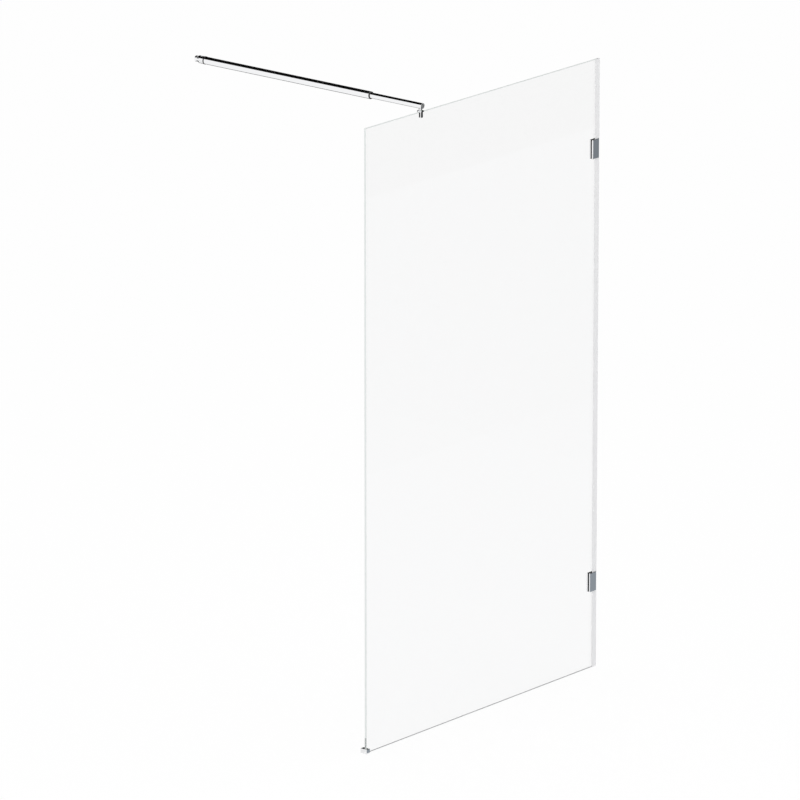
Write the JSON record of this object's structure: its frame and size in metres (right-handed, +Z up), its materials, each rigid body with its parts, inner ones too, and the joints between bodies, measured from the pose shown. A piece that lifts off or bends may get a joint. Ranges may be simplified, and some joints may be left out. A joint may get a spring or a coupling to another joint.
{
  "type": "walk-in shower screen",
  "caption": "Frameless fixed glass shower screen with chrome wall brackets, a vinyl wall seal, a floor foot and a telescopic support arm that swivels at both ends.",
  "frame": {"origin": "on the floor, at the free vertical edge of the glass, in the middle of its thickness", "axes": "+X along the glass to the wall it is fixed to, +Y square to the glass towards the wall that the support arm reaches, +Z up"},
  "size_m": [1.191, 0.967, 2.134],
  "materials": {
    "clear_glass": "clear toughened glass, polished edges",
    "frosted_vinyl": "translucent grey-white vinyl, satin",
    "clear_vinyl": "clear vinyl",
    "chrome": "bright polished chrome plate",
    "end_plug_metal": "satin turned metal",
    "screw_steel": "plain stainless steel",
    "black_rubber": "matt black rubber",
    "black_nylon": "black nylon, satin",
    "white_nylon": "natural white nylon"
  },
  "bodies": {
    "screen": {"glass_panel": "clear_glass", "edge_guard": "clear_vinyl", "wall_seal_lower": "frosted_vinyl", "wall_seal_middle": "frosted_vinyl", "wall_seal_upper": "frosted_vinyl", "upper_bracket_body": "chrome", "upper_bracket_front_plate": "chrome", "upper_bracket_front_gasket": "black_rubber", "upper_bracket_rear_gasket": "black_rubber", "upper_bracket_spacer": "white_nylon", "upper_bracket_clamp_screws": "screw_steel", "lower_bracket_body": "chrome", "lower_bracket_front_plate": "chrome", "lower_bracket_front_gasket": "black_rubber", "lower_bracket_rear_gasket": "black_rubber", "lower_bracket_spacer": "white_nylon", "lower_bracket_clamp_screws": "screw_steel", "foot_block": "chrome", "foot_liner": "clear_vinyl", "foot_floor_pad": "black_rubber", "foot_grub_screw": "screw_steel", "glass_clamp": "chrome", "glass_clamp_liner": "black_rubber", "glass_clamp_grub_screw": "screw_steel", "pivot_washer": "white_nylon"},
    "arm_inner": {"swivel_stem": "chrome", "pivot_screw": "screw_steel", "inner_tube": "chrome", "end_plug": "end_plug_metal", "guide_bush": "white_nylon"},
    "arm_outer": {"outer_tube": "chrome", "telescope_collar": "black_nylon", "lock_screw": "screw_steel", "knuckle_ring": "black_nylon", "knuckle_fork": "chrome", "knuckle_pin": "screw_steel"},
    "wall_flange": {"wall_flange": "chrome"}
  },
  "joints": [
    {"name": "arm_swivel", "type": "hinge", "parent": "screen", "child": "arm_inner", "pos_m": [0.2755, 0, 2.1066], "axis": [0, 0, 1], "range_deg": [-90, 90]},
    {"name": "arm_extension", "type": "slide", "parent": "arm_inner", "child": "arm_outer", "axis": [0, 1, 0], "range_m": [-0.185, 0.24]},
    {"name": "wall_knuckle_swivel", "type": "hinge", "parent": "arm_outer", "child": "wall_flange", "pos_m": [0.2755, 0.93, 2.1205], "axis": [0, 0, 1], "range_deg": [-60, 60]}
  ]
}
